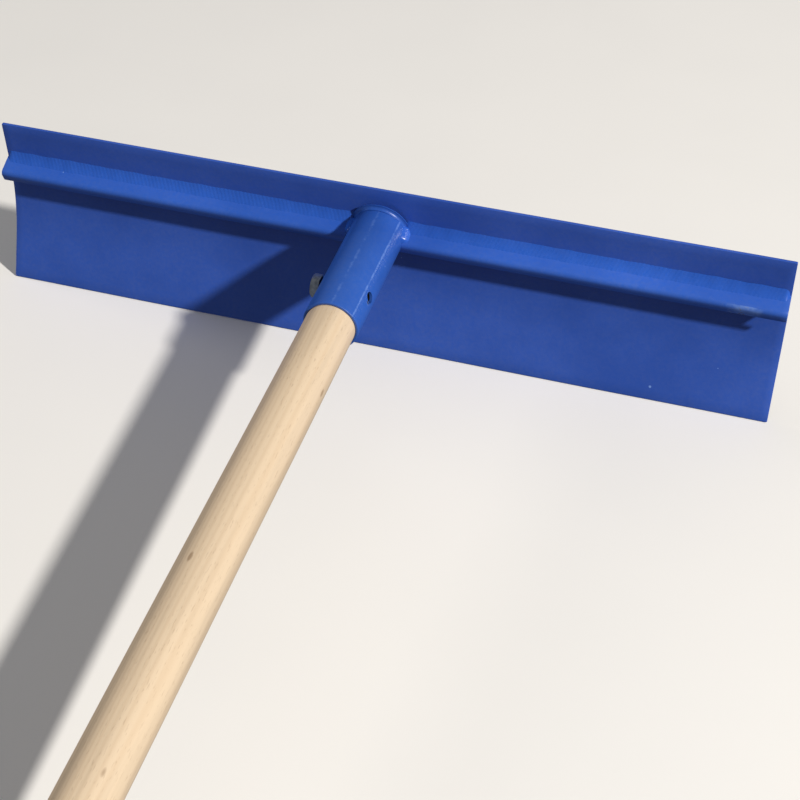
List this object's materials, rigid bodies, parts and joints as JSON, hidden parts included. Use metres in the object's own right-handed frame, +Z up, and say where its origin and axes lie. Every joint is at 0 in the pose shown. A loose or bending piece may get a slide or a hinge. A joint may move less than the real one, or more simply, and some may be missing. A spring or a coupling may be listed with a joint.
{
  "type": "concrete placer",
  "caption": "Wide curved steel blade with a folded stiffener and a tube socket, on a long round wooden handle held by one lag screw.",
  "frame": {"origin": "centre of the tool's footprint, on the plane that it lies on", "axes": "+X along the blade's working edge, to the user's right; +Y from the handle's free end towards the blade; +Z up. The tool lies on its working edge and its handle's free end."},
  "size_m": [0.508, 1.5302, 0.1126],
  "materials": {
    "blue_enamel": "gloss enamel on sheet steel",
    "pale_wood": "turned, thin clear coat",
    "zinc_plate": "bright zinc plate"
  },
  "bodies": {
    "root": {"blade": "blue_enamel", "stiffener_left": "blue_enamel", "stiffener_right": "blue_enamel", "stiffener_weld_left": "blue_enamel", "stiffener_weld_right": "blue_enamel", "stiffener_tacks": "blue_enamel", "socket": "blue_enamel", "socket_side_welds": "blue_enamel", "socket_weld": "blue_enamel", "handle": "pale_wood", "handle_screw": "zinc_plate"}
  },
  "joints": []
}
